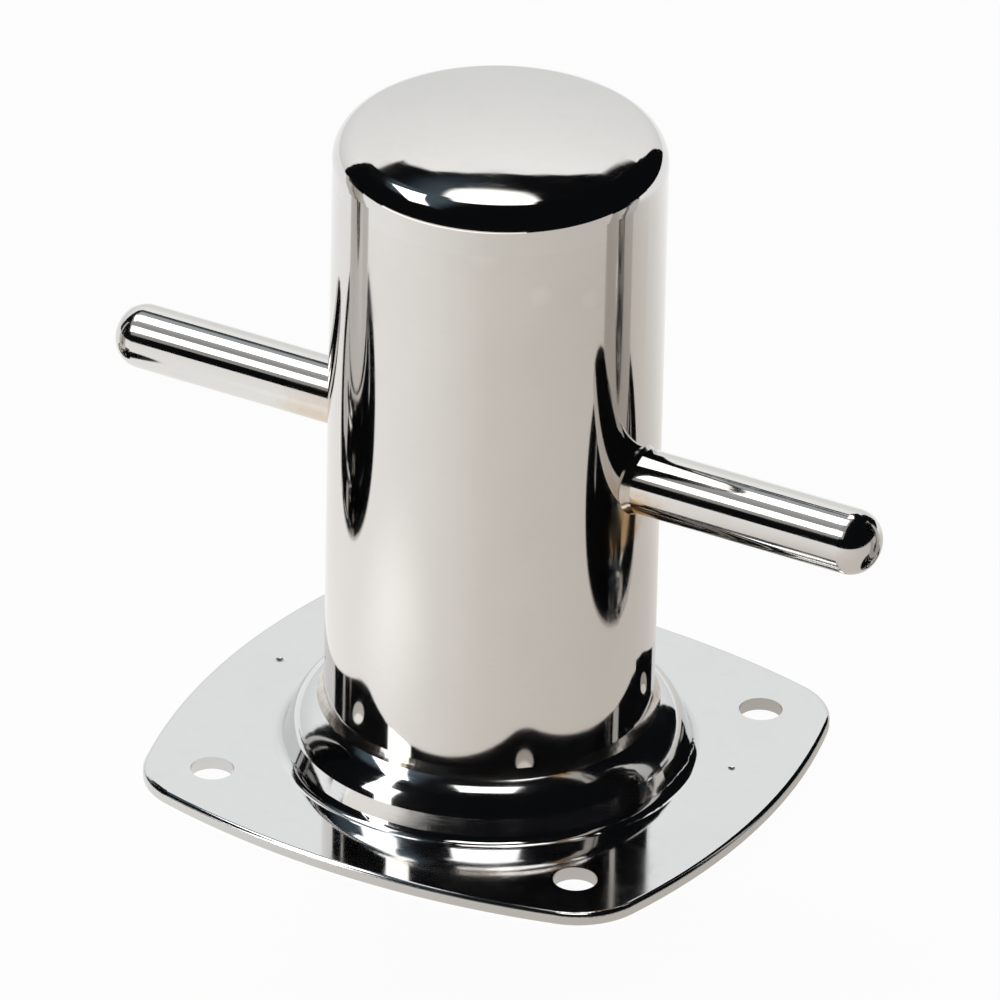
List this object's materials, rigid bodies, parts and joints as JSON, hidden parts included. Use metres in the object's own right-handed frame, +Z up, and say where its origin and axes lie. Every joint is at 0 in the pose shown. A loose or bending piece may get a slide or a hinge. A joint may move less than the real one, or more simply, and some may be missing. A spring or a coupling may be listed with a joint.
{
  "type": "mooring bollard",
  "caption": "Deck mooring bollard of polished stainless steel: domed round post with a cross bar, on a pressed plate with bolt holes.",
  "frame": {"origin": "on the post's axis, at the underside of the deck plate", "axes": "+Z up along the post, +X along the cross bar, +Y across it"},
  "size_m": [0.1554, 0.1046, 0.13],
  "materials": {
    "polished_sheet": "pressed stainless sheet, mirror polished, with fine pits",
    "polished_tube": "stainless tube, mirror polished",
    "polished_cap": "dished stainless end, mirror polished",
    "polished_bar": "stainless round bar, polished along its length",
    "weld_metal": "stainless weld, brushed, with heat tint"
  },
  "bodies": {
    "root": {"base_plate": "polished_sheet", "post_tube": "polished_tube", "dome_cap": "polished_cap", "cross_bar": "polished_bar", "collar_weld": "weld_metal", "under_weld": "weld_metal", "cap_weld": "polished_tube", "bar_weld_left": "weld_metal", "bar_weld_right": "weld_metal"}
  },
  "joints": []
}
